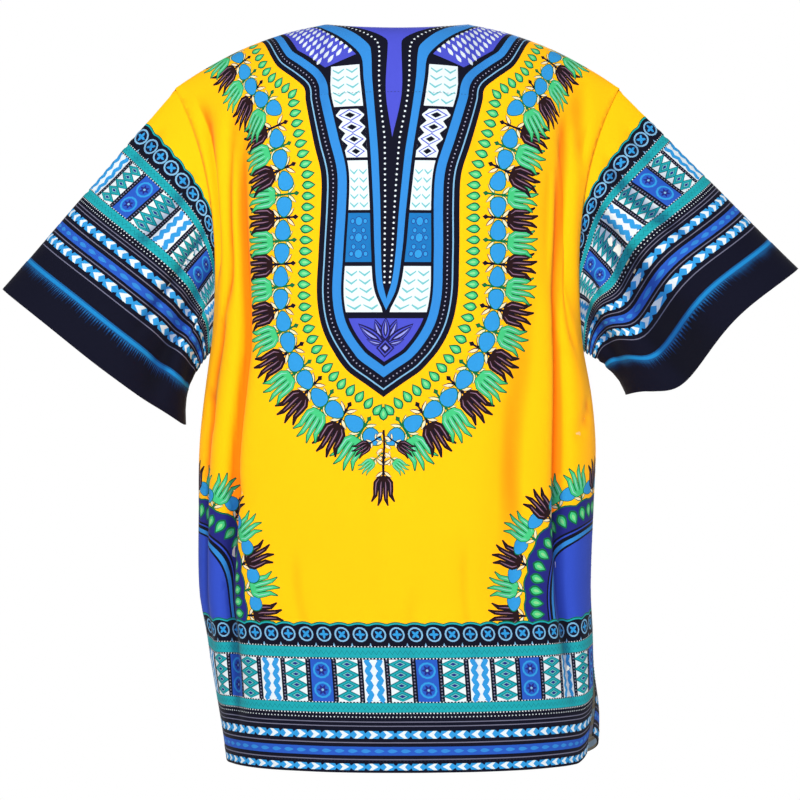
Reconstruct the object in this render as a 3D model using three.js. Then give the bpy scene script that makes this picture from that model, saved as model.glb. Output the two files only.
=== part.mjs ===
// Dashiki shirt, filled out as it is worn: back, front and two short wide sleeves.
// Millimetres, +Z up. The origin is at the base of the neck, between the two ends of the shoulder
// seams. -Y is the shirt's back, +Y its front, and the sleeves point along X.

import * as THREE from 'three';
import { mergeVertices } from 'three/addons/utils/BufferGeometryUtils.js';

// Driving dimensions
const WALL = 1.5; // thickness of the cloth wall
const SEAM_GAP = 0.3; // space between two pieces along a seam
const PANEL_HALF = 260; // half the flat width of a body panel
const UNDERARM_Z = -335; // height of the point where side seam and armhole meet
const SLIT_TOP_Z = -636; // height where the side slits end
const FLAP_WIDTH = 55; // width beside a slit over which the cloth stands away
const SQUARENESS = 2.25; // exponent of the torso's rounded section
const SHOULDER_FULLNESS = 2.5; // exponent of the curve that runs over the shoulder

const NECK = { half: 72, back: 50, backDrop: 10, front: 74, frontDrop: 34 };
const SLIT = { depth: 108, half: 9 }; // neck slit of the front panel
const SHOULDER = { x: 227, z: -64 }; // outer end of the shoulder seam
const ARMHOLE = { bow: 36, tuck: 9 }; // how far its edges bow apart, and in towards the body

// Torso sections from the hem up. left and right are the half widths, back and front the depths,
// and turn is how far the cloth has slipped round the body to the left.
const SECTIONS = [
  { z: -746, left: 174, right: 193, back: 104, front: 101, turn: 13 },
  { z: -690, left: 182, right: 199, back: 105, front: 103, turn: 13 },
  { z: -620, left: 193, right: 199, back: 105, front: 105, turn: 13 },
  { z: -575, left: 201, right: 197, back: 104, front: 106, turn: 13 },
  { z: -485, left: 202, right: 200, back: 104, front: 108, turn: 13 },
  { z: -430, left: 201, right: 202, back: 106, front: 110, turn: 11 },
  { z: -380, left: 196, right: 198, back: 109, front: 113, turn: 6 },
  { z: UNDERARM_Z, left: 190, right: 190, back: 112, front: 116, turn: 0 },
];

// How far the lower corners beside the slits stand away along Y, sideways and up. The cloth bulges
// most a little way in from the edge.
const CORNERS = {
  back: { awayLeft: -7, awayRight: -7, left: -2, right: -2, lift: 7 },
  front: { awayLeft: 4, awayRight: -6, left: 8, right: 16, lift: 24 },
};
const FLAP_EDGE = 0.35; // share of the sideways distance at the edge
const FLAP_BULGE = 0.6; // and more of it in the middle of the flap

// Shoulder seam from the neck to the armhole
const SHOULDER_LINE = [
  { x: 72, z: 0 },
  { x: 113, z: -9 },
  { x: 160, z: -26 },
  { x: 200, z: -47 },
  { x: SHOULDER.x, z: SHOULDER.z },
];

// Largest folds. at is the place across the flat panel at the fold's lower end, and lean is how far
// its upper end lies beside it. low and high are the heights between which it runs.
const BACK_FOLDS = [
  { at: -176, lean: 14, wide: 15, deep: 17, low: -715, high: -120 },
  { at: -222, lean: 4, wide: 13, deep: 9, low: -640, high: -300 },
  { at: 196, lean: -16, wide: 14, deep: 15, low: -690, high: -165 },
  { at: 118, lean: 26, wide: 24, deep: 6, low: -640, high: -170 },
];
const FRONT_FOLDS = [
  { at: -188, lean: 20, wide: 15, deep: 14, low: -680, high: -170 },
  { at: -96, lean: -18, wide: 26, deep: 6, low: -700, high: -230 },
  { at: 170, lean: -12, wide: 16, deep: 13, low: -720, high: -160 },
  { at: 226, lean: -8, wide: 13, deep: 8, low: -600, high: -290 },
];

// Where, across a panel, the cloth that is wider than the body is taken up
const SIDE_CLOTH = { from: 140, wide: 50 };

// Sleeves. Each cuff lies between its outer and inner corner, and folds run down from the armhole.
// around is a fold's place round the sleeve, 0 on top, 0.25 at the back and 0.5 below. sag is where
// the cloth hangs lower than a straight cuff: at is 0 at the inner corner and 1 at the outer one.
const SLEEVES = {
  left: {
    sign: -1,
    outer: { x: 401, z: -269 },
    inner: { x: 216, z: -406 },
    depth: 42,
    sag: { at: 0.4, wide: 0.3, drop: 4 },
    folds: [
      { around: 0.34, wide: 0.035, deep: 16, start: -0.1, end: 1.0 },
      { around: 0.44, wide: 0.03, deep: 8, start: -0.1, end: 0.6 },
      { around: 0.64, wide: 0.04, deep: 12, start: -0.1, end: 0.9 },
    ],
  },
  right: {
    sign: 1,
    outer: { x: 408, z: -248 },
    inner: { x: 234, z: -371 },
    depth: 44,
    sag: { at: 0.3, wide: 0.22, drop: 32 },
    folds: [
      { around: 0.27, wide: 0.04, deep: 15, start: -0.1, end: 1.3 },
      { around: 0.42, wide: 0.035, deep: 9, start: -0.1, end: 0.7 },
      { around: 0.66, wide: 0.045, deep: 12, start: -0.1, end: 1.1 },
    ],
  },
};

// Mesh counts
const TORSO_ROWS = 11; // rows below the underarm
const YOKE_ROWS = 14; // rows between the underarm and the shoulder seam
const SLEEVE_RINGS = 9;
const LENGTH_STEPS = 200; // steps that measure the cloth round a section

const clamp = (value, low, high) => Math.min(high, Math.max(low, value));
const mix = (a, b, t) => a + (b - a) * t;
const smooth = (t) => {
  const c = clamp(t, 0, 1);
  return c * c * (3 - 2 * c);
};
const power = (value, exponent) => Math.sign(value) * Math.abs(value) ** exponent;
const sum = (values) => values.reduce((total, value) => total + value, 0);

// A value of a table at key, on a smooth curve through its rows
function readTable(table, keyName, key, name) {
  const last = table.length - 1;
  const slope = (i) => {
    const before = table[Math.max(0, i - 1)];
    const after = table[Math.min(last, i + 1)];
    return (after[name] - before[name]) / (after[keyName] - before[keyName]);
  };
  let i = 0;
  while (i < last - 1 && key > table[i + 1][keyName]) {
    i += 1;
  }
  const step = table[i + 1][keyName] - table[i][keyName];
  const t = clamp((key - table[i][keyName]) / step, 0, 1);
  const ease = t * t * (3 - 2 * t);
  const bend = (t - t * t) * step * (slope(i) * (1 - t) - slope(i + 1) * t);
  return mix(table[i][name], table[i + 1][name], ease) + bend;
}

// Inward depth of the folds at place s across the flat panel
function foldDepth(folds, s, z) {
  let depth = 0;
  for (const fold of folds) {
    const up = clamp((z - fold.low) / (fold.high - fold.low), 0, 1);
    const centre = fold.at + fold.lean * up;
    const d = (s - centre) / fold.wide;
    depth += fold.deep * Math.sin(Math.PI * up) ** 0.6 * Math.exp(-d * d);
  }
  return depth;
}

// Point of a torso section: angle 0 is the middle of the back, a quarter turn the right side
function sectionPoint(z, angle) {
  const side = angle > 0 ? 'right' : 'left';
  const face = Math.cos(angle) > 0 ? 'back' : 'front';
  const half = readTable(SECTIONS, 'z', z, side);
  const deep = readTable(SECTIONS, 'z', z, face);
  const x = half * power(Math.sin(angle), 2 / SQUARENESS);
  const y = -deep * power(Math.cos(angle), 2 / SQUARENESS);
  return new THREE.Vector2(x, y);
}

// Half opening of the armhole at height z
function armholeOpening(z) {
  const rise = clamp((z - UNDERARM_Z) / (SHOULDER.z - UNDERARM_Z), 0, 1);
  return ARMHOLE.bow * Math.sin(Math.PI * rise) ** 0.75;
}

// Points across one panel at height z, one for each place in columns. reach is the angle from the
// middle of the panel to its edges. The cloth that a fold takes up is missing from the section's
// own length, so the columns keep their true spacing; cloth left over is taken up at the sides.
function panelRow(panel, z, columns, reach = Math.PI / 2) {
  const turn = readTable(SECTIONS, 'z', z, 'turn') / SECTIONS[0].right;
  const folds = panel === 'back' ? BACK_FOLDS : FRONT_FOLDS;
  const path = [];
  const travelled = [0];
  for (let i = 0; i <= LENGTH_STEPS; i += 1) {
    const across = (i / LENGTH_STEPS - 0.5) * 2 * reach;
    const angle = panel === 'back' ? across - turn : Math.PI - across - turn;
    path.push(sectionPoint(z, angle > Math.PI ? angle - 2 * Math.PI : angle));
    if (i > 0) {
      travelled.push(travelled[i - 1] + path[i].distanceTo(path[i - 1]));
    }
  }
  const kept = [];
  const yielding = [];
  const step = (2 * PANEL_HALF) / LENGTH_STEPS;
  for (let i = 1; i <= LENGTH_STEPS; i += 1) {
    const s = -PANEL_HALF + i * step;
    const rise = (foldDepth(folds, s, z) - foldDepth(folds, s - step, z)) / step;
    kept.push(Math.sqrt(Math.max(0.05, 1 - rise * rise)) * step);
    yielding.push(smooth((Math.abs(s - step / 2) - SIDE_CLOTH.from) / SIDE_CLOTH.wide));
  }
  const excess = (sum(kept) - travelled[LENGTH_STEPS]) / sum(yielding);
  const used = [0];
  for (let i = 1; i <= LENGTH_STEPS; i += 1) {
    used.push(used[i - 1] + kept[i - 1] - yielding[i - 1] * excess);
  }
  return columns.map((s) => {
    const place = ((s + PANEL_HALF) / (2 * PANEL_HALF)) * LENGTH_STEPS;
    const low = Math.min(Math.floor(place), LENGTH_STEPS - 1);
    const target = mix(used[low], used[low + 1], place - low);
    let k = 0;
    while (k < LENGTH_STEPS - 1 && travelled[k + 1] < target) {
      k += 1;
    }
    const t = (target - travelled[k]) / (travelled[k + 1] - travelled[k]);
    const point = path[k].clone().lerp(path[k + 1], clamp(t, 0, 1));
    const along = path[k + 1].clone().sub(path[k]).normalize();
    const side = panel === 'back' ? 1 : -1;
    const inward = new THREE.Vector2(-along.y * side, along.x * side);
    return point.addScaledVector(inward, foldDepth(folds, s, z));
  });
}

// Upper edge of a panel: the neck edge in the middle, then the shoulder seam
function topEdge(panel, s) {
  const across = Math.abs(s);
  if (across < NECK.half) {
    const dip = 1 - (across / NECK.half) ** 2;
    const y = panel === 'back' ? -NECK.back * dip : NECK.front * dip;
    const drop = panel === 'back' ? NECK.backDrop : NECK.frontDrop;
    return new THREE.Vector3(s, y, -drop * dip);
  }
  const along = (across - NECK.half) / (PANEL_HALF - NECK.half);
  const x = mix(NECK.half, SHOULDER.x, along);
  return new THREE.Vector3(Math.sign(s) * x, 0, readTable(SHOULDER_LINE, 'x', x, 'z'));
}

// Row of points above the underarm; climb runs from 0 there to 1 at the shoulder seam
function yokeRow(panel, columns, climb) {
  const angle = (climb * Math.PI) / 2;
  const level = Math.cos(angle) ** (2 / SHOULDER_FULLNESS);
  const height = Math.sin(angle) ** (2 / SHOULDER_FULLNESS);
  const edgeZ = mix(UNDERARM_Z, SHOULDER.z, height);
  const section = SECTIONS[SECTIONS.length - 1];
  const open = armholeOpening(edgeZ);
  const share = clamp(open / (section[panel] * Math.max(level, 0.01)), 0, 0.95);
  const reach = Math.acos(share ** (SQUARENESS / 2));
  const widest = section.right * Math.sin(reach) ** (2 / SQUARENESS);
  const base = panelRow(panel, edgeZ, columns, reach);
  return columns.map((s, i) => {
    const top = topEdge(panel, s);
    const side = Math.sign(s) * ARMHOLE.tuck * (open / ARMHOLE.bow) * Math.abs(s / PANEL_HALF) ** 4;
    const x = mix((base[i].x * section.right) / widest, top.x, height ** 3) - side;
    const y = mix(top.y, base[i].y, level);
    return new THREE.Vector3(x, y, mix(UNDERARM_Z, top.z, height));
  });
}

// A closed wall round a sheet of points. grids holds the sheet's rows of points, and neighbours
// that share a place are joined. outward turns the wall's outer face.
function clothWall(grids, outward) {
  const points = [];
  const keys = new Map();
  const quads = [];
  const indexOf = (point) => {
    const key = point.toArray().map((value) => Math.round(value * 1000)).join();
    if (!keys.has(key)) {
      keys.set(key, points.length);
      points.push(point);
    }
    return keys.get(key);
  };
  for (const rows of grids) {
    for (let j = 0; j < rows.length - 1; j += 1) {
      for (let i = 0; i < rows[j].length - 1; i += 1) {
        const corners = [rows[j][i], rows[j][i + 1], rows[j + 1][i + 1], rows[j + 1][i]];
        const quad = corners.map(indexOf);
        quads.push(outward > 0 ? quad : quad.reverse());
      }
    }
  }
  const triangles = quads.flatMap(([a, b, c, d]) => [[a, b, c], [a, c, d]]);
  const real = triangles.filter(([a, b, c]) => a !== b && b !== c && a !== c);
  const normals = points.map(() => new THREE.Vector3());
  for (const [a, b, c] of real) {
    const ab = points[b].clone().sub(points[a]);
    const face = ab.cross(points[c].clone().sub(points[a]));
    for (const corner of [a, b, c]) {
      normals[corner].add(face);
    }
  }
  const positions = [];
  const offset = (half) => {
    points.forEach((point, i) => {
      const moved = point.clone().addScaledVector(normals[i].clone().normalize(), half);
      positions.push(moved.x, moved.y, moved.z);
    });
  };
  offset(WALL / 2);
  offset(-WALL / 2);
  const n = points.length;
  const index = [];
  const edges = new Map();
  for (const [a, b, c] of real) {
    index.push(a, b, c, c + n, b + n, a + n);
    for (const [from, to] of [[a, b], [b, c], [c, a]]) {
      edges.set(`${from},${to}`, [from, to]);
    }
  }
  for (const [from, to] of edges.values()) {
    if (!edges.has(`${to},${from}`)) {
      index.push(to, from, from + n, to, from + n, to + n);
    }
  }
  const geometry = new THREE.BufferGeometry();
  geometry.setAttribute('position', new THREE.Float32BufferAttribute(positions, 3));
  geometry.setIndex(index);
  return mergeVertices(geometry, 1e-4);
}

// Places of the panel's columns: closer together at the sides, where the folds are
function panelColumns() {
  const half = [0, 16, 32, 50, 72, 92, 112, 132, 150, 166, 180, 194, 207, 219, 231, 242, 252];
  const edge = PANEL_HALF - SEAM_GAP / 2;
  const right = [...half, edge];
  return [...right.slice(1).reverse().map((s) => -s), ...right];
}

// Rows of points of one body panel, from the hem to its upper edge
function panelRows(panel) {
  const columns = panelColumns();
  const hem = SECTIONS[0].z;
  const rows = [];
  for (let j = 0; j <= TORSO_ROWS; j += 1) {
    const z = mix(hem, UNDERARM_Z, j / TORSO_ROWS);
    const spread = smooth((SLIT_TOP_Z - z) / (SLIT_TOP_Z - hem));
    rows.push(panelRow(panel, z, columns).map((point, i) => {
      const corner = CORNERS[panel];
      const inside = PANEL_HALF - Math.abs(columns[i]);
      const flap = smooth(1 - inside / FLAP_WIDTH);
      const edge = flap * spread;
      const out = columns[i] < 0 ? -corner.left : corner.right;
      const away = columns[i] < 0 ? corner.awayLeft : corner.awayRight;
      const x = point.x + out * edge * (FLAP_EDGE + 4 * FLAP_BULGE * (1 - flap));
      return new THREE.Vector3(x, point.y + away * edge, z + corner.lift * edge);
    }));
  }
  for (let j = 1; j <= YOKE_ROWS; j += 1) {
    rows.push(yokeRow(panel, columns, j / YOKE_ROWS));
  }
  const back = panel === 'back' ? -1 : 1;
  for (const point of rows[rows.length - 1]) {
    point.y += back * (SEAM_GAP / 2 + WALL / 2);
  }
  return rows;
}

function panelMesh(panel) {
  const rows = panelRows(panel);
  const middle = (rows[0].length - 1) / 2;
  if (panel === 'back') {
    return clothWall([rows], 1);
  }
  const top = rows[rows.length - 1][middle].z;
  const halves = [-1, 1].map((sign) => rows.map((row) => {
    const part = sign < 0 ? row.slice(0, middle + 1) : row.slice(middle);
    return part.map((point, i) => {
      const cut = SLIT.half * clamp((point.z - top + SLIT.depth) / SLIT.depth, 0, 1);
      const near = sign < 0 ? i / middle : 1 - i / middle;
      const open = cut * smooth((near - 0.72) / 0.28);
      return new THREE.Vector3(point.x + sign * open, point.y, point.z);
    });
  }));
  return clothWall(halves, -1);
}

// Points round the armhole, from the shoulder down the back and up the front, set in from the
// edges of the panels by the wall and the seam gap
function armholeRing(sign) {
  const edge = (panel, j) => yokeRow(panel, [sign * PANEL_HALF], j / YOKE_ROWS)[0];
  const loop = [];
  for (let j = YOKE_ROWS; j >= 0; j -= 1) {
    loop.push(edge('back', j));
  }
  for (let j = 1; j < YOKE_ROWS; j += 1) {
    loop.push(edge('front', j));
  }
  const count = loop.length;
  return loop.map((point, i) => {
    const before = loop[(i + count - 1) % count];
    const after = loop[(i + 1) % count];
    const a = new THREE.Vector2(point.y - before.y, point.z - before.z).normalize();
    const b = new THREE.Vector2(after.y - point.y, after.z - point.z).normalize();
    const along = a.clone().add(b).normalize();
    const slant = Math.max(0.45, along.dot(a));
    const inset = (WALL + SEAM_GAP) / slant;
    const x = point.x + sign * (SEAM_GAP + WALL / 2);
    return new THREE.Vector3(x, point.y - along.y * inset, point.z + along.x * inset);
  });
}

// Point of the cuff: around is 0 at its outer corner, 0.25 at the back, 0.5 at the inner corner
function cuffPoint(sleeve, around) {
  const angle = 2 * Math.PI * around;
  const height = 0.5 + 0.5 * power(Math.cos(angle), 0.9);
  const x = mix(sleeve.inner.x, sleeve.outer.x, height);
  const z = mix(sleeve.inner.z, sleeve.outer.z, height);
  return new THREE.Vector3(sleeve.sign * x, -sleeve.depth * power(Math.sin(angle), 0.85), z);
}

// How far the cloth at this place round the sleeve hangs below a straight cuff
function sagDepth(sleeve, around) {
  const height = 0.5 + 0.5 * power(Math.cos(2 * Math.PI * around), 0.9);
  const d = (height - sleeve.sag.at) / sleeve.sag.wide;
  return sleeve.sag.drop * Math.exp(-d * d);
}

function sleeveMesh(sleeve) {
  const armhole = armholeRing(sleeve.sign);
  const lengths = armhole.map((point, i) => point.distanceTo(armhole[(i + 1) % armhole.length]));
  const total = sum(lengths);
  let travelled = 0;
  const around = lengths.map((length) => {
    const place = travelled / total;
    travelled += length;
    return place;
  });
  const rings = [];
  for (let j = 0; j <= SLEEVE_RINGS; j += 1) {
    const along = j / SLEEVE_RINGS;
    const ring = armhole.map((start, i) => {
      const point = start.clone().lerp(cuffPoint(sleeve, around[i]), along);
      const below = smooth(1 - Math.abs(around[i] - 0.5) * 2);
      point.x += sleeve.sign * 10 * Math.sin(Math.PI * along) * below;
      point.z -= sagDepth(sleeve, around[i]) * smooth(along * 1.4);
      for (const fold of sleeve.folds) {
        const d = (around[i] - fold.around) / fold.wide;
        const run = clamp((along - fold.start) / (fold.end - fold.start), 0, 1);
        const inward = fold.deep * Math.sin(Math.PI * run) ** 0.7 * Math.exp(-d * d);
        point.y -= Math.sign(point.y) * Math.min(inward, Math.abs(point.y) * 0.7);
      }
      return point;
    });
    rings.push([...ring, ring[0]]);
  }
  return clothWall([rings], -sleeve.sign);
}

// Materials: the ground colour that covers most of each piece
const yellowCotton = () => new THREE.MeshStandardMaterial({
  color: 0xffd800,
  roughness: 0.85,
  metalness: 0,
});
const navyCotton = () => new THREE.MeshStandardMaterial({
  color: 0x14203f,
  roughness: 0.85,
  metalness: 0,
});

const shirt = new THREE.Group();

function addPiece(name, geometry, material) {
  const mesh = new THREE.Mesh(geometry, material);
  mesh.name = name;
  shirt.add(mesh);
}

addPiece('back', panelMesh('back'), yellowCotton());
addPiece('front', panelMesh('front'), yellowCotton());
addPiece('sleeve_left', sleeveMesh(SLEEVES.left), navyCotton());
addPiece('sleeve_right', sleeveMesh(SLEEVES.right), navyCotton());

export default shirt;
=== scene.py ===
import math

import bpy
import numpy as np
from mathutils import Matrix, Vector
from mathutils.geometry import delaunay_2d_cdt


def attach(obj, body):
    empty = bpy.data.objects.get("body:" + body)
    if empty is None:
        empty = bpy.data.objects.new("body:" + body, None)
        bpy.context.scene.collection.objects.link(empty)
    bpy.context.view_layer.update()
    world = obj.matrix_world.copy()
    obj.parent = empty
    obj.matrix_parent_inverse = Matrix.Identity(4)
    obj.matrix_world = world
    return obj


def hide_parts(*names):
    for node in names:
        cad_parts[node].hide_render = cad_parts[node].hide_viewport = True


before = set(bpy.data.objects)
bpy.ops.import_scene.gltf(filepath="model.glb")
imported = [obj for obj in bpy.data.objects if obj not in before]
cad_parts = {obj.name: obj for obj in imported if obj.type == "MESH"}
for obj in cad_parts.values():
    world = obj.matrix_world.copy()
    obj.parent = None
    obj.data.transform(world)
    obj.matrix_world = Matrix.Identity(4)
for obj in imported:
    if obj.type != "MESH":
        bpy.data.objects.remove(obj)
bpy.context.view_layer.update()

# ------------------------------------------------------------------ sizes
# Everything is in millimetres until a mesh is written. s runs across a flat panel of cloth and t
# up from its hem (or cuff); -Y is the shirt's back.
MM = 0.001
CLOTH = 0.8          # thickness of the printed cotton
HEM_EXTRA = 0.7      # more thickness where a hem is turned up
PANEL_HEM = 13       # depth of a body panel's turned-up hem
CUFF_HEM = 39        # and of a sleeve's
HALF = 260.0         # half the flat width of a body panel
EDGE = 259.4         # where the cloth turns inward at a side seam
ALLOWANCE = 6.5      # width of the turned-in seam allowance
VENT_T = 112.0       # flat height of the side slits' upper ends
ARMHOLE_T = 411.0    # flat height of the underarm
BEVEL = 3            # slant of the allowance's ends
UNDERARM_Z = -335.0
SLIT_TOP_Z = -636.0  # upper ends of the side slits
HEM_Z = -746.0
FLAP_WIDTH = 55.0    # how much of the cloth beside a side slit stands away
SQUARENESS = 2.25    # exponent of the body's rounded section
FULLNESS = 2.5       # exponent of its rounding over the shoulders
NECK = dict(half=72.0, back=50.0, back_drop=10.0, front=74.0, front_drop=34.0)
SLIT = dict(depth=108.0, half=9.0)
SHOULDER = (227.0, -64.0)
BOW = 36.0           # half the armhole's opening from back to front
TUCK = 9.0           # how far the armhole's middle is drawn in
RING_INSET = 1.15    # how far a sleeve's seam allowance lies inside the body's cloth
SLEEVE_HALF = 262.0  # half the flat width of a sleeve
SLEEVE_LONG = 274.0  # its flat length from cuff to shoulder
SLEEVE_SHORT = 196.0  # and at the underarm
SMALL = 700          # size of box up to which a shape of the print is left off the reverse
PANELS = ("back", "front")


def table(names, rows):
    """Named columns of a short table."""
    return dict(zip(names.split(), np.array(rows, float).T))


TORSO = table("z left right back front turn", [
    (-746, 174, 193, 104, 101, 13),
    (-690, 182, 199, 105, 103, 13),
    (-620, 193, 199, 105, 105, 13),
    (-575, 201, 197, 104, 106, 13),
    (-485, 202, 200, 104, 108, 13),
    (-430, 201, 202, 106, 110, 11),
    (-380, 196, 198, 109, 113, 6),
    (-335, 190, 190, 112, 116, 0),
])
# How far the middle of the print has slipped to the left beyond the slip of the seams
LEAN = table("z shift", [
    (-746, 0), (-485, 0), (-430, 1.5), (-380, 6), (-335, 9), (-250, 6), (-120, 3.5), (0, 2),
])
SHOULDER_LINE = table("x z", [(72, 0), (113, -9), (160, -26), (200, -47), (227, -64)])
# How far the hem's corners stand out at the side slits
CORNERS = dict(back=dict(away=(-7, -7), left=-2, right=-2, lift=7),
               front=dict(away=(4, -6), left=8, right=16, lift=24))

# Main folds: place across at the lower end, how far the upper end lies beside it, half width,
# depth, and the heights of both ends
FOLDS = dict(
    back=[(-176, 14, 15, 17, -715, -120), (-222, 4, 13, 9, -640, -300),
          (196, -16, 14, 15, -690, -165), (118, 26, 24, 6, -640, -170)],
    front=[(-188, 20, 15, 14, -680, -170), (-96, -18, 26, 6, -700, -230),
           (170, -12, 16, 13, -720, -160), (226, -8, 13, 8, -600, -290)],
)
# A sleeve's folds: place as a share of the way round, half width, depth, and how far along it ends
SLEEVES = dict(
    sleeve_left=dict(sign=-1, outer=(401, -269), inner=(216, -406), depth=42, sag=(0.4, 0.3, 4),
                     folds=[(0.34, 0.035, 16, 1.0), (0.44, 0.03, 8, 0.6), (0.64, 0.04, 12, 0.9)]),
    sleeve_right=dict(sign=1, outer=(408, -248), inner=(234, -371), depth=44, sag=(0.3, 0.22, 32),
                      folds=[(0.27, 0.04, 15, 1.3), (0.42, 0.035, 9, 0.7), (0.66, 0.045, 12, 1.1)]),
)

# Small creases of each piece: from (s, t) to (s, t), half width, depth; a negative depth stands out
CREASES = dict(
    back=[(-236, 470, -226, 700, 15, 9.0), (-196, 440, -168, 680, 17, 8.0),
          (232, 430, 196, 690, 17, 10.0), (246, 590, 212, 730, 17, 6.0), (176, 440, 170, 640, 13, 4.0),
          (-212, 380, -184, 540, 8, 3.0), (226, 400, 204, 520, 7, 3.0),
          (-244, 380, -205, 330, 8, 2.6), (240, 372, 205, 320, 8, 2.6), (-190, 280, -120, 262, 10, 1.8),
          (-60, 70, -84, 240, 11, 1.3), (22, 40, 36, 200, 12, 1.1),
          (98, 60, 84, 250, 10, 1.4), (150, 200, 128, 420, 13, 1.6),
          (-128, 90, -150, 330, 12, 1.6), (-30, 560, 60, 548, 8, 0.7)],
    front=[(-234, 450, -220, 690, 16, 8.0), (-200, 430, -166, 650, 15, 6.0),
           (230, 460, 206, 680, 16, 8.5), (204, 410, 172, 620, 14, 5.0),
           (-70, 60, -50, 260, 12, 1.4), (36, 30, 20, 230, 11, 1.5),
           (128, 80, 150, 300, 12, 1.7), (-140, 50, -120, 280, 12, 1.6),
           (-24, 600, -70, 470, 10, 1.0), (26, 590, 82, 450, 10, 1.2)],
    sleeve_left=[(74, 262, 96, 90, 11, 5.0), (122, 255, 142, 30, 8, 9.0), (-80, 255, -110, 60, 12, 4.0),
                 (20, 262, 10, 120, 12, 2.4), (186, 205, 205, 60, 8, 6.0),
                 (100, 60, 150, 110, 12, -2.2), (-150, 240, -170, 80, 10, 4.0)],
    sleeve_right=[(60, 262, 84, 70, 10, 6.5), (96, 250, 138, 60, 8, 9.5), (132, 240, 190, 110, 8, 7.0),
                  (-70, 255, -100, 60, 12, 4.0), (22, 262, 40, 110, 12, 2.6),
                  (190, 195, 215, 50, 9, 4.0), (80, 110, 170, 150, 11, -3.0),
                  (-140, 240, -175, 80, 10, 4.5)],
)

COLOURS = {name: tuple((v / 255) ** 2.2 * 0.68 for v in rgb) for name, rgb in dict(
    violet=(78, 84, 208), sky=(54, 140, 220), navy=(18, 20, 52), black=(13, 15, 36),
    teal=(32, 168, 178), deep=(16, 118, 128), mint=(150, 215, 205), green=(72, 205, 130),
    forest=(16, 112, 62), umber=(42, 22, 26), mauve=(150, 112, 140), cream=(255, 236, 190),
    arch=(54, 82, 200), royal=(44, 92, 196), grey=(118, 118, 142), disc=(52, 156, 226),
    white=(234, 244, 250), pale=(130, 186, 226), stripe=(30, 136, 205), jade=(120, 200, 205),
    indigo=(40, 44, 130), lilac=(150, 155, 240), lime=(140, 225, 150), crest=(34, 28, 78),
    azure=(30, 118, 190), speck=(170, 172, 200), brush=(26, 96, 156), dusk=(16, 52, 96),
).items()}
COLOURS["yellow"] = (0.97, 0.425, 0.0)


def clamp(v, low, high):
    return np.minimum(high, np.maximum(low, v))


def mix(a, b, t):
    return a + (b - a) * t


def smooth(t):
    c = clamp(t, 0.0, 1.0)
    return c * c * (3 - 2 * c)


def power(v, exponent):
    return np.sign(v) * np.abs(v) ** exponent


def unit(v):
    return v / np.linalg.norm(v, axis=-1, keepdims=True)


def travelled(points):
    """Length of a path up to each of its points."""
    return np.concatenate([[0], np.cumsum(np.linalg.norm(np.diff(points, axis=0), axis=1))])


def curve(rows, name, at):
    """Value of a table's column on a smooth curve through its rows, by its first column."""
    key, value = next(iter(rows.values())), rows[name]
    slope = np.empty(len(key))
    slope[1:-1] = (value[2:] - value[:-2]) / (key[2:] - key[:-2])
    slope[0] = (value[1] - value[0]) / (key[1] - key[0])
    slope[-1] = (value[-1] - value[-2]) / (key[-1] - key[-2])
    i = np.clip(np.searchsorted(key, at, side="right") - 1, 0, len(key) - 2)
    step = key[i + 1] - key[i]
    t = clamp((at - key[i]) / step, 0, 1)
    bend = (t - t * t) * step * (slope[i] * (1 - t) - slope[i + 1] * t)
    return mix(value[i], value[i + 1], t * t * (3 - 2 * t)) + bend


# ------------------------------------------------------------------ the body's form
def fold_depth(panel, s, z):
    depth = np.zeros_like(s)
    for at, lean, wide, deep, low, high in FOLDS[panel]:
        up = float(clamp((z - low) / (high - low), 0, 1))
        d = (s - at - lean * up) / wide
        depth += deep * max(math.sin(math.pi * up), 0) ** 0.6 * np.exp(-d * d)
    return depth


def section(z, angle):
    half = np.where(angle > 0, curve(TORSO, "right", z), curve(TORSO, "left", z))
    deep = np.where(np.cos(angle) > 0, curve(TORSO, "back", z), curve(TORSO, "front", z))
    x = half * power(np.sin(angle), 2 / SQUARENESS)
    y = -deep * power(np.cos(angle), 2 / SQUARENESS)
    return x, y


def panel_row(panel, z, s, reach=math.pi / 2):
    """Points of one level of a body panel, with the folds taking up their share of the cloth."""
    turn = float(curve(TORSO, "turn", z)) / TORSO["right"][0]
    across = np.linspace(-reach, reach, 401)
    angle = across - turn if panel == "back" else math.pi - across - turn
    angle = np.where(angle > math.pi, angle - 2 * math.pi, angle)
    x, y = section(z, angle)
    travel = np.concatenate([[0], np.cumsum(np.hypot(np.diff(x), np.diff(y)))])
    place = np.linspace(-HALF, HALF, 401)
    step = place[1] - place[0]
    rise = np.diff(fold_depth(panel, place, z)) / step
    kept = np.sqrt(np.maximum(0.05, 1 - rise * rise)) * step
    # The sides of the panel take up what is left over
    slack = smooth((np.abs(place[1:] - step / 2) - 140) / 50)
    kept -= slack * (kept.sum() - travel[-1]) / slack.sum()
    used = np.concatenate([[0], np.cumsum(kept)])
    target = np.interp(s, place, used)
    middle = (travel[1:] + travel[:-1]) / 2
    length = np.diff(travel)
    tx = np.interp(target, middle, np.diff(x) / length)
    ty = np.interp(target, middle, np.diff(y) / length)
    size = np.hypot(tx, ty)
    side = 1 if panel == "back" else -1
    inner = np.stack([-ty * side / size, tx * side / size], -1)
    points = np.stack([np.interp(target, travel, x), np.interp(target, travel, y)], -1)
    return points + inner * fold_depth(panel, s, z)[:, None], inner


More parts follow.
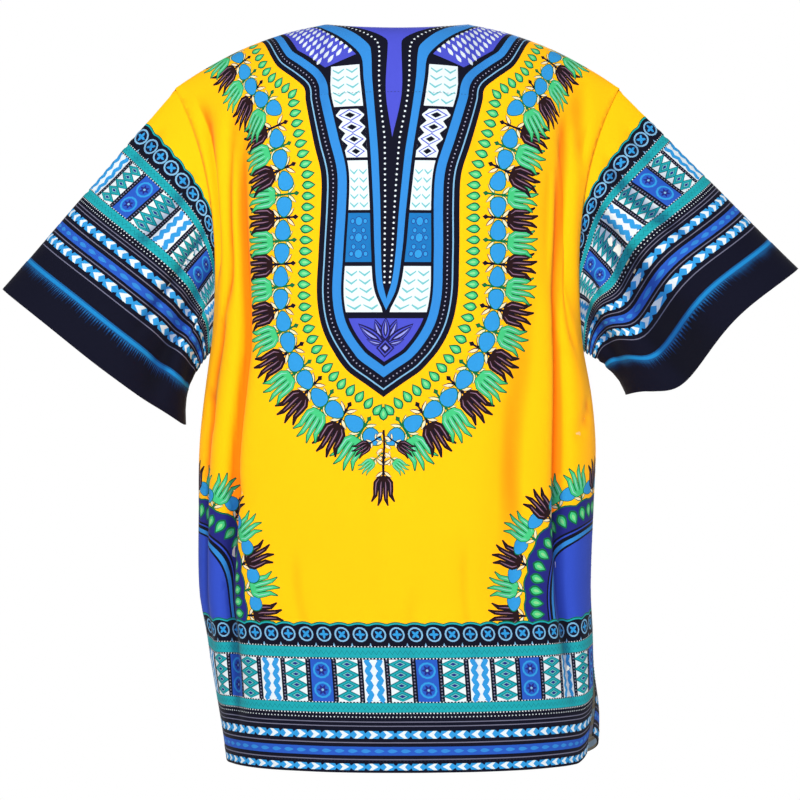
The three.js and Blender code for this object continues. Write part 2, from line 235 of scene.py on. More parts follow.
def top_edge(panel, s):
    across = np.abs(s)
    dip = np.where(across < NECK["half"], 1 - (across / NECK["half"]) ** 2, 0)
    front = panel == "front"
    y = dip * (NECK["front"] if front else -NECK["back"])
    drop = dip * (NECK["front_drop"] if front else NECK["back_drop"])
    along = clamp((across - NECK["half"]) / (HALF - NECK["half"]), 0, 1)
    x = np.where(across < NECK["half"], s, np.sign(s) * mix(NECK["half"], SHOULDER[0], along))
    z = np.where(across < NECK["half"], -drop, curve(SHOULDER_LINE, "z", np.abs(x)))
    return x, y, z


def yoke_row(panel, s, climb):
    """Points of one level between the underarm and the shoulder."""
    angle = climb * math.pi / 2
    level = max(math.cos(angle), 0.0) ** (2 / FULLNESS)
    height = math.sin(angle) ** (2 / FULLNESS)
    edge_z = mix(UNDERARM_Z, SHOULDER[1], height)
    rise = clamp((edge_z - UNDERARM_Z) / (SHOULDER[1] - UNDERARM_Z), 0, 1)
    opening = BOW * max(math.sin(math.pi * rise), 0.0) ** 0.75
    share = min(opening / (TORSO[panel][-1] * max(level, 0.01)), 0.95)
    reach = math.acos(share ** (SQUARENESS / 2))
    right = TORSO["right"][-1]
    widest = right * math.sin(reach) ** (2 / SQUARENESS)
    base, inner = panel_row(panel, edge_z, s, reach)
    x, y, z = top_edge(panel, s)
    side = np.sign(s) * TUCK * (opening / BOW) * np.abs(s / HALF) ** 4
    px = mix(base[:, 0] * right / widest, x, height ** 3) - side
    py = mix(y, base[:, 1], level)
    return np.stack([px, py, mix(UNDERARM_Z, z, height)], -1), inner


def panel_grid(panel, s):
    """Rows of points of a body panel from the hem to its upper edge, at the places s."""
    rows = []
    flat = np.clip(s, -EDGE, EDGE)
    extra = np.abs(s) - np.abs(flat)
    corner = CORNERS[panel]

    def slipped(z):
        return flat - float(curve(LEAN, "shift", z)) * (1 - (flat / HALF) ** 2)

    for z in np.linspace(HEM_Z, UNDERARM_Z, 150):
        point, inner = panel_row(panel, z, slipped(z))
        point = point + inner * extra[:, None]
        spread = smooth((SLIT_TOP_Z - z) / (SLIT_TOP_Z - HEM_Z))
        flap = smooth(1 - (HALF - np.abs(flat)) / FLAP_WIDTH)
        edge = flap * spread
        out = np.where(s < 0, -corner["left"], corner["right"])
        away = np.where(s < 0, *corner["away"])
        rows.append(np.stack([point[:, 0] + out * edge * (0.35 + 2.4 * (1 - flap)),
                              point[:, 1] + away * edge, z + corner["lift"] * edge], -1))
    gap = (CLOTH + 0.3) / 2 * (-1 if panel == "back" else 1)
    for climb in np.linspace(0, 1, 121)[1:]:
        z = mix(UNDERARM_Z, 0, math.sin(climb * math.pi / 2))
        point, inner = yoke_row(panel, slipped(z), climb)
        point[:, :2] += inner * extra[:, None]
        if climb == 1:
            point[:, 1] += gap
        rows.append(point)
    grid = np.array(rows)
    if panel == "front":
        top = grid[-1, len(s) // 2, 2]
        cut = SLIT["half"] * clamp((grid[..., 2] - top + SLIT["depth"]) / SLIT["depth"], 0, 1)
        near = smooth((1 - np.abs(s) / HALF - 0.72) / 0.28)
        grid[..., 0] += np.where(s < 0, -1, 1) * cut * near
    return grid


class Drape:
    """Where a flat sheet of cloth lies in space: (s, t) to a point and the outward normal."""

    ROWS = 340

    def __init__(self, s, grid, outward, hem, flat_length=None):
        self.s = s
        self.hem = hem
        step = np.linalg.norm(np.diff(grid, axis=0), axis=-1)
        travel = np.concatenate([np.zeros((1, len(s))), np.cumsum(step, axis=0)])
        own = travel[-1]
        if flat_length is None:
            self.top = own.copy()
            measure = travel
        else:
            self.top = flat_length
            share = travel / own
            measure = own * share + (flat_length - own) * share ** 6
        v = np.linspace(0, 1, self.ROWS)
        self.points = np.empty((self.ROWS, len(s), 3))
        for i in range(len(s)):
            for axis in range(3):
                self.points[:, i, axis] = np.interp(v * self.top[i], measure[:, i], grid[:, i, axis])
        self.outward = outward
        self.find_normals()

    def find_normals(self):
        normal = np.cross(np.gradient(self.points, axis=1), np.gradient(self.points, axis=0))
        size = np.linalg.norm(normal, axis=-1, keepdims=True)
        self.normals = self.outward * normal / np.maximum(size, 1e-9)

    def crease(self, creases, rng, ripple):
        """Push small creases and an uneven ripple into the cloth."""
        s = np.broadcast_to(self.s, self.points.shape[:2])
        t = np.linspace(0, 1, self.ROWS)[:, None] * self.top
        depth = np.zeros_like(t)
        for s0, t0, s1, t1, wide, deep in creases:
            length = math.hypot(s1 - s0, t1 - t0)
            u = ((s - s0) * (s1 - s0) + (t - t0) * (t1 - t0)) / length
            v = ((s - s0) * (t1 - t0) - (t - t0) * (s1 - s0)) / length
            v = v + 0.06 * length * (u / length) * (1 - u / length) * 4
            taper = smooth(u / (0.3 * length)) * smooth((length - u) / (0.3 * length))
            depth += deep * taper * np.exp(-(v / wide) ** 2)
        for _ in range(14):
            turn = rng.uniform(-0.5, 0.5)
            pitch = rng.uniform(45, 120)
            wave = (s * math.cos(turn) + t * math.sin(turn)) / pitch * 2 * math.pi
            swell = np.sin(t / rng.uniform(90, 190) + rng.uniform(0, 6.3))
            depth += ripple * rng.uniform(0.3, 1) * np.sin(wave + rng.uniform(0, 6.3)) * swell
        # Edges that are sewn to another piece keep their place
        free = smooth((HALF - 7 - np.abs(s)) / 14) * smooth((self.top - 8 - t) / 64)
        self.points -= self.normals * (depth * free)[..., None]
        self.find_normals()

    def read(self, grid, flat):
        """Values of a grid at flat places."""
        s, t = flat[:, 0], flat[:, 1]
        column = np.interp(s, self.s, np.arange(len(self.s)))
        i = np.minimum(column.astype(int), len(self.s) - 2)
        a = (column - i)[:, None]
        row = clamp(t / np.interp(s, self.s, self.top), 0, 1) * (self.ROWS - 1)
        j = np.minimum(row.astype(int), self.ROWS - 2)
        b = (row - j)[:, None]
        low = mix(grid[j, i], grid[j, i + 1], a)
        return mix(low, mix(grid[j + 1, i], grid[j + 1, i + 1], a), b)

    def at(self, flat):
        point = self.read(self.points, flat)
        point[:, 2] -= np.maximum(flat[:, 1] - np.interp(flat[:, 0], self.s, self.top), 0)
        return point, unit(self.read(self.normals, flat))

    def lifted(self, flat, lift, side=1):
        """Points at a height over the outer face, or with side -1 under the inner one."""
        point, normal = self.at(flat)
        thick = CLOTH + HEM_EXTRA * smooth((self.hem - flat[:, 1]) / 2)
        return point + normal * side * (thick[:, None] / 2 + lift)

    def hollow(self, flat):
        """How deep flat places lie in a valley of the cloth, from 0 to 1."""
        deep = np.zeros(self.points.shape[:2])
        for reach in (4, 7, 11):
            pad = np.pad(self.points, ((reach, reach), (reach, reach), (0, 0)), "edge")
            across = (pad[reach:-reach, 2 * reach:] + pad[reach:-reach, :-2 * reach]) / 2
            rise = ((across - self.points) * self.normals).sum(-1)
            deep = np.maximum(deep, rise / (0.22 * reach * 2.3))
        deep[:, :12] = 0
        deep[:, -12:] = 0
        return self.read(clamp(deep, 0, 1)[..., None], flat)[:, 0]


# ------------------------------------------------------------------ the sleeves' form
def armhole_ring(sign):
    """Points round the armhole, from the shoulder down the back and up the front."""
    climbs = np.linspace(1, 0, 61)
    edge = np.array([sign * HALF])
    down = [yoke_row("back", edge, c)[0][0] for c in climbs]
    up = [yoke_row("front", edge, c)[0][0] for c in climbs[::-1][1:-1]]
    loop = np.array(down + up)
    back = unit((loop - np.roll(loop, 1, 0))[:, 1:])
    ahead = unit((np.roll(loop, -1, 0) - loop)[:, 1:])
    along = unit(back + ahead)
    slant = np.maximum(0.45, (along * back).sum(1))
    ring = loop.copy()
    ring[:, 1] -= along[:, 1] * RING_INSET / slant
    ring[:, 2] += along[:, 0] * RING_INSET / slant
    closed = np.vstack([ring, ring[:1]])
    travel = travelled(closed)
    return closed, travel / travel[-1]


def sleeve_grid(sleeve, s):
    """Rows of points of a sleeve from the cuff to the armhole, at the places s round it."""
    sign = sleeve["sign"]
    ring, share = armhole_ring(sign)
    flat = np.clip(s, -SLEEVE_HALF + 0.6, SLEEVE_HALF - 0.6)
    extra = np.abs(s) - np.abs(flat)
    around = np.where(flat >= 0, flat, flat + 2 * SLEEVE_HALF) / (2 * SLEEVE_HALF)
    start = np.stack([np.interp(around, share, ring[:, k]) for k in range(3)], -1)
    angle = 2 * math.pi * around
    height = 0.5 + 0.5 * power(np.cos(angle), 0.9)
    (ox, oz), (ix, iz) = sleeve["outer"], sleeve["inner"]
    end = np.stack([sign * mix(ix, ox, height), -sleeve["depth"] * power(np.sin(angle), 0.85),
                    mix(iz, oz, height)], -1)
    at, wide, drop = sleeve["sag"]
    sag = drop * np.exp(-((height - at) / wide) ** 2)
    below = smooth(1 - np.abs(around - 0.5) * 2)
    rows = []
    for along in np.linspace(1, 0, 121):
        point = mix(start, end, along)
        point[:, 0] += sign * 10 * math.sin(math.pi * along) * below
        point[:, 2] -= sag * smooth(along * 1.4)
        for place, wide, deep, stop in sleeve["folds"]:
            d = (around - place) / wide
            run = float(clamp((along + 0.1) / (stop + 0.1), 0, 1))
            inward = deep * max(math.sin(math.pi * run), 0) ** 0.7 * np.exp(-d * d)
            point[:, 1] -= np.sign(point[:, 1]) * np.minimum(inward, np.abs(point[:, 1]) * 0.7)
        point[:, 2] += extra
        rows.append(point)
    # The seam allowance lies flat inside the body
    for inward in (2.0, 4.0, 6.0):
        rows.append(rows[120] - (sign * inward, 0, 0))
    return np.array(rows)


# ------------------------------------------------------------------ drawing the print
class Print:
    """Flat shapes in painting order: a later one covers an earlier one."""

    def __init__(self):
        self.shapes = []

    def add(self, points, colour):
        self.shapes.append((np.asarray(points, float), colour))

    def both(self, points, colour):
        self.add(points, colour)
        self.add(np.asarray(points, float) * (-1, 1), colour)

    def stamp(self, points, colour, s, t, turn=0.0, size=1.0):
        self.add(placed(points, s, t, turn, size), colour)

    def rect(self, s0, s1, t0, t1, colour):
        self.add([(s0, t0), (s1, t0), (s1, t1), (s0, t1)], colour)

    def disc(self, s, t, r, colour, sides=8, tall=1.0):
        a = np.arange(sides) / sides * 2 * math.pi + 0.39
        self.stamp(np.stack([r * np.cos(a), tall * r * np.sin(a)], -1), colour, s, t)

    def discs(self, places, r, colour, sides):
        for s, t in places:
            self.disc(s, t, r, colour, sides)


def placed(points, s, t, turn, size=1.0):
    points = np.asarray(points, float) * size
    c, w = math.cos(turn), math.sin(turn)
    return np.stack([s + points[:, 0] * c - points[:, 1] * w,
                     t + points[:, 0] * w + points[:, 1] * c], -1)


def petal(length, width, bend=0.0, count=6, fat=0.8, blunt=0.9):
    """A pointed leaf along the first axis, curving sideways by bend."""
    u = np.linspace(0, 1, count + 1)
    w = width / 2 * np.sin(math.pi * u ** fat) ** blunt
    spine = bend * length * u * u
    upper = np.stack([u * length, spine + w], -1)
    lower = np.stack([u * length, spine - w], -1)[::-1][1:-1]
    return np.vstack([upper, lower])


def path_points(path, pitch, start=0.0):
    """Even steps along a path: places and directions."""
    path = np.asarray(path, float)
    travel = travelled(path)
    where = np.arange(start, travel[-1], pitch)
    point, ahead, behind = (np.stack([np.interp(where + step, travel, path[:, k]) for k in (0, 1)], -1)
                            for step in (0, 2, -2))
    return point, np.arctan2(ahead[:, 1] - behind[:, 1], ahead[:, 0] - behind[:, 0])


def blade(spine, width, tip=0.0):
    """A stroke along a spine, its last point carried on by tip."""
    spine = np.asarray(spine, float)
    along = unit(np.gradient(spine, axis=0))
    spine = spine + along * np.linspace(0, 1, len(spine))[:, None] ** 4 * tip
    width = np.broadcast_to(width, len(spine))[:, None]
    side = np.stack([-along[:, 1], along[:, 0]], -1) * width / 2
    return np.vstack([spine + side, (spine - side)[::-1]])


TULIPS = dict(dark=("black", "umber", "mauve"), green=("forest", "green", "mint"))
# Spine and width of a flower's outer and inner prong
PRONGS = [(np.array([(21, 0), (22, 4.4), (26, 7.4), (32.5, 7.8), (38.5, 7.8), (44.5, 11.2)]),
           np.array([3.0, 4.4, 4.6, 4.2, 3.4, 0.2])),
          (np.array([(22, 0), (25, 2.1), (30, 2.6), (37, 2.6), (43, 3.0), (48.5, 4.8)]),
           np.array([2.6, 3.6, 3.9, 3.7, 3.0, 0.2]))]


def tulip(ink, s, t, turn, kind, size=1.0):
    """A long-stemmed flower pointing along turn, its base at (s, t)."""
    dark, fill, rib = TULIPS[kind]

    def put(points, colour, at=(0, 0), aim=0.0):
        ink.stamp(placed(points, at[0], at[1], aim), colour, s, t, turn, size)

    put([(-2.8, 0), (0, -2.3), (2.2, -0.9), (21, -1.1), (21, 1.1), (2.2, 0.9), (0, 2.3)], dark)
    for way in (-1, 1):
        for start, aim in ((8, 2.2), (14, 0.8)):
            put(petal(11, 4.2, 0.1 * way, 4), dark, (start, 0), aim * way)
            put(petal(9, 2.6, 0.1 * way, 4), "cream", (start + 1.2 * math.cos(aim), way), aim * way)
    for more, colour in ((1.0, dark), (0.0, fill)):
        for way in (-1, 1):
            for spine, width in PRONGS:
                put(blade(spine * (1, way), width + more * 1.3, more * 1.4), colour)
    for way in (-1, 1):
        for spine, width in PRONGS:
            put(blade(spine[1:-1] * (1, way), (0.3, 0.9, 0.9, 0.3)), rib)


def drop(ink, s, t, turn, size=1.0):
    for length, width, colour in ((14.6, 9.4, "forest"), (11.2, 6.2, "green"), (6.4, 2.6, "lime")):
        shape = petal(length, width, fat=1.35, blunt=0.7) - (length / 2, 0)
        ink.stamp(shape, colour, s, t, turn, size)


def berry(ink, s, t, turn, size=1.0, point=1):
    """A pear-shaped blue bud between two stems, its narrow end towards the stem at point."""
    a = np.linspace(0, 2 * math.pi, 16)[:-1]
    pear = np.stack([np.sin(a) * (1 - 0.42 * (0.5 + np.cos(a) / 2)), 1.03 * point * np.cos(a)], -1)
    for r, colour in ((10.6, "forest"), (9.5, "disc")):
        ink.stamp(pear * r, colour, s, t, turn, size)


def columns(half, pitch):
    return range(-int(half / pitch) - 1, int(half / pitch) + 2)


def border(ink, rows, half, first=0):
    """Rows of woven-looking border pattern across a panel, from its hem upward."""
    def band(low, high, colour):
        ink.rect(-half, half, low, high, colour)

    def beads(level, pitch, r):
        ink.discs([(s, level) for s in np.arange(-half, half, pitch)], r, "white", 4)

    for kind, t0, t1 in rows:
        mid = (t0 + t1) / 2
        if kind in ("hem", "lines", "dots", "panels"):
            band(t0, t1, "black")
        if kind == "lines":
            band(mid - 0.5, mid + 0.5, "grey")
        elif kind == "stripe":
            for reach, colour in ((9.5, "dusk"), (5.0, "brush")):
                for k, s in enumerate(np.arange(-half, half, 2.0)):
                    fade = reach * (1 + 0.22 * math.sin(k * 2.4) + 0.16 * math.sin(k * 0.37))
                    ink.add([(s - 1.1, t0 + 0.3), (s, t0 - fade), (s + 1.1, t0 + 0.3)], colour)
            band(t0, t1, "stripe")
            band(t1 - 1.6, t1, "brush")
        elif kind == "dots":
            beads(t1 - 3.4, 3.6, 0.75)
            for share in (0.28, 0.52):
                level = mix(t0, t1, share)
                band(level - 0.45, level + 0.45, "grey")
        elif kind == "blue":
            band(t0, t1, "royal")
            for s in np.arange(-half, half, 13):
                ink.stamp(petal(10, (t1 - t0) * 0.45), "sky", s, mid)
        elif kind == "arrows":
            arrows(ink, t0, t1, half)
        elif kind == "teal":
            band(t0, t1, "teal")
            zig = np.arange(-half, half, 2.6)
            wave = np.where(np.arange(len(zig)) % 2, 1.0, -1.0) * (t1 - t0) * 0.16
            ink.add(blade(np.stack([zig, mid + wave], -1), 0.7), "deep")
            for level in (t0 + 0.3, t1 - 0.3):
                band(level - 0.9, level + 0.9, "black")
                beads(level, 3.3, 0.85)
        elif kind == "panels":
            panels(ink, t0, t1, half, first)
        elif kind == "rings":
            rings(ink, t0, t1, half)


def arrows(ink, t0, t1, half):
    """Light chevrons that point away from the middle on both sides."""
    mid, tall = (t0 + t1) / 2, (t1 - t0) / 2
    ink.rect(-half, half, t0, t1, "disc")
    chevron = [(-4.5, -tall), (-1.2, -tall), (4.6, 0), (-1.2, tall), (-4.5, tall), (-1.6, 0)]
    notches = [[(5.2, up * tall), (9.4, up * tall), (6.4, up * tall * 0.35)] for up in (-1, 1)]
    for s in np.arange(7.2, half, 14.4):
        for way in (-1, 1):
            for shape, colour in ((chevron, "white"), (notches[0], "navy"), (notches[1], "navy")):
                ink.add(np.array(shape) * (-way, 1) + (way * s, mid), colour)


def panels(ink, t0, t1, half, first):
    """Upright strips of lozenges, rosettes and waves between beaded columns."""
    pitch = 26.0
    tall = t1 - t0
    for k in columns(half, pitch):
        s0 = k * pitch + 9 - 10.5
        s1 = s0 + 21
        kind = (k + first) % 4
        mid = (s0 + s1) / 2
        ink.rect(s0, s1, t0, t1, "royal" if kind == 1 else "white")
        if kind in (0, 2):
            count = round(tall / 9.8)
            step = tall / count
            for w, h, colour in ((12.6, 0.6, "deep"), (10.2, 0.48, "teal"), (6.6, 0.32, "deep"),
                                 (5.0, 0.24, "jade"), (3.4, 0.15, "indigo")):
                for i in range(count):
                    t = t0 + (i + 0.5) * step
                    low, high = max(t - h * step, t0), min(t + h * step, t1)
                    ink.add([(mid - w, t), (mid, low), (mid + w, t), (mid, high)], colour)
        elif kind == 1:
            for share in (0.27, 0.73):
                t = mix(t0, t1, share)
                for r, colour in ((8.6, "disc"), (6.6, "royal")):
                    ink.disc(mid, t, r, colour, 12, 0.95 * tall / 42)
                for turn in range(6):
                    ink.stamp(petal(5.6, 2.6, 0, 4), "indigo", mid, t, turn * math.pi / 3)
                ink.disc(mid, t, 1.4, "pale", 6)
        else:
            for way in (-1, 1):
                t = np.linspace(t0, t1, 19)
                swing = 5.2 + 1.5 * np.sin((t - t0) / tall * 2 * math.pi * 4.5)
                ink.add(blade(np.stack([mid + way * swing, t], -1), 5.2), "disc")
        ink.rect(s1, s1 + 5, t0, t1, "black")
        ink.discs([(s1 + 2.5, t) for t in np.arange(t0 + 2, t1 - 1, 3.2)], 0.95, "grey", 5)


def rings(ink, t0, t1, half):
    """Rings with a small flower in each, on a dark band with a scalloped upper edge."""
    s = np.linspace(-half, half, int(half / 1.5))
    for lift, colour in ((0.6, "forest"), (-0.4, "teal"), (-1.9, "black")):
        top = t1 - 3.2 + lift + 2.6 * np.abs(np.sin(s / 9.2 * math.pi / 2)) ** 0.7
        ink.add(np.vstack([np.stack([s, top], -1), [(half, t0), (-half, t0)]]), colour)
    mid = mix(t0, t1, 0.48)
    ring = 0.31 * (t1 - t0)
    pitch = 18.0
    for k in columns(half, pitch):
        x = k * pitch + 9
        ink.disc(x, mid, ring, "pale", 14)
        ink.disc(x, mid, ring * 0.78, "navy", 14)
        for turn in range(4):
            aim = turn * math.pi / 2 + (0.78 if k % 2 else 0)
            ink.stamp(petal(ring * 0.66, ring * 0.36, 0, 4), "disc", x, mid, aim)
        ink.add([(x + 9 - 1.2, t0), (x + 9 + 1.2, t0), (x + 9, t0 + 3.4)], "pale")


HEM_ROWS = [("hem", 0, 2.5), ("arrows", 2.5, 9), ("lines", 9, 17), ("blue", 17, 25.5),
            ("lines", 25.5, 33.5), ("arrows", 33.5, 41), ("dots", 41, 58), ("teal", 58, 69.5),
            ("panels", 69.5, 111.5), ("teal", 111.5, 124), ("rings", 124, 148)]
CUFF_ROWS = [("hem", 0, 38), ("stripe", 38, 43), ("hem", 43, 57), ("lines", 57, 67), ("arrows", 67, 76),
             ("lines", 76, 82.6), ("blue", 82.6, 91.8), ("lines", 91.8, 100.4),
             ("arrows", 100.4, 109), ("dots", 109, 124), ("teal", 124, 136),
             ("panels", 136, 185), ("teal", 185, 196.5), ("rings", 196.5, 225)]

# Half widths of the bib at heights t, its line carried on below the tip for what is set outside it
BIB = table("t half", [(268, -122), (308, -73), (348, -24.4), (368, 0), (380, 16.5), (396, 38),
                       (429, 60), (463, 68), (507, 67.5), (560, 65.5), (588, 66.5), (617, 74.5),
                       (663, 87), (677, 90), (688, 103), (705, 126), (750, 153), (840, 214)])
# Half widths of the light band in its middle, of the dark cloth in that and of the innermost field
WEDGE = table("t half", [(453, 0), (474, 9), (510, 13), (554, 15.5), (615, 20.5), (684, 29.5),
                         (706, 32), (718, 39), (759, 75), (840, 146)])
DARK = table("t half", [(464, 0), (482, 4.6), (510, 7.0), (554, 8.9), (600, 12), (615, 13.4),
                        (650, 17.6), (684, 21.3), (712, 23), (722, 26), (764, 62), (840, 130)])
VIOLET = table("t half", [(623, 0), (668, 7.6), (718, 6.8), (726, 7.4), (732, 13), (748, 34),
                          (770, 60), (840, 140)])
LADDER = [("chevrons", 451, 496), ("floral", 500, 548), ("chevrons", 551, 600),
          ("lozenges", 603, 652), ("chevrons", 655, 699)]
# Colours of the nested leaves and lozenges of the crest, from the outside in
NESTED = ("crest", "violet", "crest", "lilac")


def outline(rows, inset, levels):
    """Half widths at the levels of a line set in from a table's by a distance square to it."""
    if inset == 0:
        return curve(rows, "half", levels)
    near = np.linspace(-1, 1, 41) * abs(inset)
    reach = np.sqrt(inset * inset - near * near)
    half = curve(rows, "half", levels[:, None] + near)
    return (half - reach).min(1) if inset > 0 else (half + reach).max(1)


def wedge_shape(rows, inset, top=838.0):
    """The closed shape between the two mirrored lines of a table, and one of the lines."""
    levels = np.arange(rows["t"][0], top, 3.0)
    half = outline(rows, inset, levels)
    first = int(np.argmax(half > 0))
    if first:
        a, b = half[first - 1], half[first]
        tip = mix(levels[first - 1], levels[first], -a / (b - a))
    else:
        tip = levels[0]
    line = np.vstack([[(0.0, tip)], np.stack([half[first:], levels[first:]], -1)])
    shape = np.vstack([line, (line * (-1, 1))[::-1][:-1]])
    return shape, line


def bib(ink):
    def fields(*rows):
        for lines, inset, colour in rows:
            ink.add(wedge_shape(lines, inset)[0], colour)

    def beads(line, pitch, start, r, colour, sides):
        point, _ = path_points(line, pitch, start)
        ink.discs([(way * s, t) for s, t in point for way in (-1, 1)], r, colour, sides)

    fields((BIB, 0, "black"), (BIB, 5.4, "pale"), (BIB, 6.8, "black"), (BIB, 15.6, "sky"),
           (BIB, 24.2, "black"))
    beads(wedge_shape(BIB, 11.3)[1], 4.3, 3, 0.85, "speck", 4)
    ladder(ink)
    slanting_block(ink)
    crest(ink)
    fields((WEDGE, -3.2, "black"), (WEDGE, 0, "sky"), (DARK, 0, "black"), (VIOLET, 0, "violet"))
    levels = np.arange(476, 838, 1.0)
    inner = np.maximum(curve(VIOLET, "half", levels), 0)
    middle = np.maximum((curve(DARK, "half", levels) + inner) / 2, 2.6)
    beads(np.stack([middle, levels], -1), 5.3, 4, 1.15, "white", 5)


def ladder(ink):
    """Blocks of pattern down both sides of the wedge."""
    def cell(u, t):
        levels = np.arange(380, 800, 3.0)
        outer = np.minimum(np.interp(t, levels, outline(BIB, 26.8, levels)), 62)
        inner = np.interp(t, levels, np.maximum(curve(WEDGE, "half", levels), 0)) + 3.4
        return np.stack([mix(inner, outer, u), t], -1)

    def mark(points, colour):
        points = np.asarray(points, float)
        ink.both(cell(points[:, 0], points[:, 1]), colour)

    around = np.arange(8) / 8 * 2 * math.pi
    ring = np.stack([np.cos(around) / 28, np.sin(around)], -1)
    for kind, t0, t1 in LADDER:
        t = np.linspace(t0, t1, 10)
        block = np.vstack([cell(np.full(10, 0.0), t), cell(np.full(10, 1.0), t)[::-1]])
        ink.both(block, "azure" if kind == "floral" else "white")
        if kind == "chevrons":
            for t in np.arange(t0 + 3, t1 - 5, 8.2):
                for u in (0.27, 0.74):
                    mark([(u - 0.2, t + 3.4), (u, t - 1), (u + 0.2, t + 3.4), (u + 0.2, t + 4.9),
                          (u, t + 1.3), (u - 0.2, t + 4.9)], "jade")
        elif kind == "lozenges":
            step = (t1 - t0) / 4
            for i in range(4):
                t = t0 + (i + 0.5) * step
                for w, h, colour in ((0.42, 0.5, "violet"), (0.34, 0.4, "white"), (0.2, 0.24, "black")):
                    mark([(0.5 - w, t), (0.5, t - h * step), (0.5 + w, t), (0.5, t + h * step)], colour)
                for u0, u1 in ((0, 0.2), (1, 0.8)):
                    mark([(u0, t - 0.9 * step / 2 + step / 2), (u1, t + step / 2),
                          (u0, t + 0.9 * step / 2 + step / 2)], "black")
        else:
            for i in range(3):
                t = t0 + (i + 0.5) * (t1 - t0) / 3
                small = [(0.22, 0.0), (0.78, 0.0)] + ([(0.3, 7.0), (0.7, 7.0)] if i < 2 else [])
                for u, up, outer, inner in [(u, up, 2.9, 2.2) for u, up in small] + [(0.5, 0, 5.0, 4.3)]:
                    mark(ring * outer + (u, t + up), "indigo")
                    mark(ring * inner + (u, t + up), "disc")


def slanting_block(ink):
    """The block under the shoulder, with rows of slanting dashes."""
    ink.both([(37.5, 711.0), (68, 699), (84, 711), (101.5, 722), (128.5, 766), (155.5, 803),
              (150, 835), (79, 757)], "violet")
    for row in range(4):
        for k in range(15):
            along = k * 7.6 + (row % 2) * 3.2
            base = (mix(43, 73, row / 3) + along * 0.6, mix(714, 701, row / 3) + along * 0.74)
            ink.both(placed(petal(10.5, 4.0, 0, 4), base[0] + 2.5, base[1] - 1, 2.1), "white")


def crest(ink):
    """A fan of leaves over nested lozenges at the foot of the wedge."""
    ink.add(wedge_shape(BIB, 28.0, 447)[0], "violet")
    for way in (-1, 1):
        for aim, length, wide, low in ((0.62, 23, 10, 423), (1.16, 31, 11, 422), (1.5, 18, 7, 420)):
            for more, colour in zip((1.0, 0.72, 0.5, 0.2), NESTED):
                leaf = petal(length * (0.5 + more / 2), wide * more, 0.2 * way, 8)
                turn = math.pi / 2 - way * aim
                start = length * (1 - more) * 0.3
                ink.stamp(leaf, colour, way + start * math.cos(turn), low + start * math.sin(turn), turn)
    for more, colour in zip((1.0, 0.7, 0.44, 0.16), NESTED):
        leaf = petal(23 * (0.5 + more / 2), 10 * more, 0, 8)
        ink.stamp(leaf, colour, 0, 423 + 7 * (1 - more), math.pi / 2)
    for size, colour in zip((1.0, 0.8, 0.62, 0.3), NESTED):
        ink.add([(0, 416 - 9.5 * size), (9 * size, 416), (0, 416 + 9.5 * size), (-9 * size, 416)], colour)


def garland(ink):
    """Drops, buds and flowers round the outside of the bib."""
    def ring(distance, pitch, start):
        point, aim = path_points(wedge_shape(BIB, -distance)[1], pitch, start)
        return [(s, t, turn) for (s, t), turn in zip(point, aim)]

    def facing(angle, way):
        return angle if way > 0 else math.pi - angle

    for s, t, turn in ring(13, 10.9, 7):
        for way in (-1, 1):
            drop(ink, way * s, t, facing(turn - math.pi / 2, way))
    drop(ink, 0, 352, -math.pi / 2)
    for k, (s, t, turn) in enumerate(ring(48, 22.8, 34)):
        out = turn - math.pi / 2 - 0.1
        bud = out + 0.1
        near = turn + 0.05
        kind = "dark" if k % 2 else "green"
        for way in (-1, 1):
            tulip(ink, way * (s - 23 * math.cos(out)), t - 23 * math.sin(out), facing(out, way), kind,
                  1.14)
            berry(ink, way * (s - 11 * math.cos(bud) - 11.4 * math.cos(near)),
                  t - 11 * math.sin(bud) - 11.4 * math.sin(near), facing(bud, way), 1.0,
                  way if kind == "dark" else -way)
    # The hanging spray at the tip
    ink.add(blade([(0, 336), (0.6, 320), (-0.6, 305), (0, 285)], 2.2), "umber")
    for way in (-1, 1):
        down = -math.pi / 2 + way * 1.0
        tulip(ink, way * 4, 329, down, "dark", 0.62)
        tulip(ink, way * 2, 313, down - way * 0.15, "green", 0.56)
        down = -math.pi / 2 + way * 0.85
        leaf = petal(8.5, 3.6, 0.1 * way, 5)
        for k in range(4):
            low = 8 * k + (way > 0) * 4
            ink.stamp(leaf, "umber", way * 0.8, 334 - low, down)
            ink.stamp(leaf * 0.8, "cream", way * 1.4, 333.4 - low, down)
    tulip(ink, 0, 309, -math.pi / 2, "dark", 0.95)


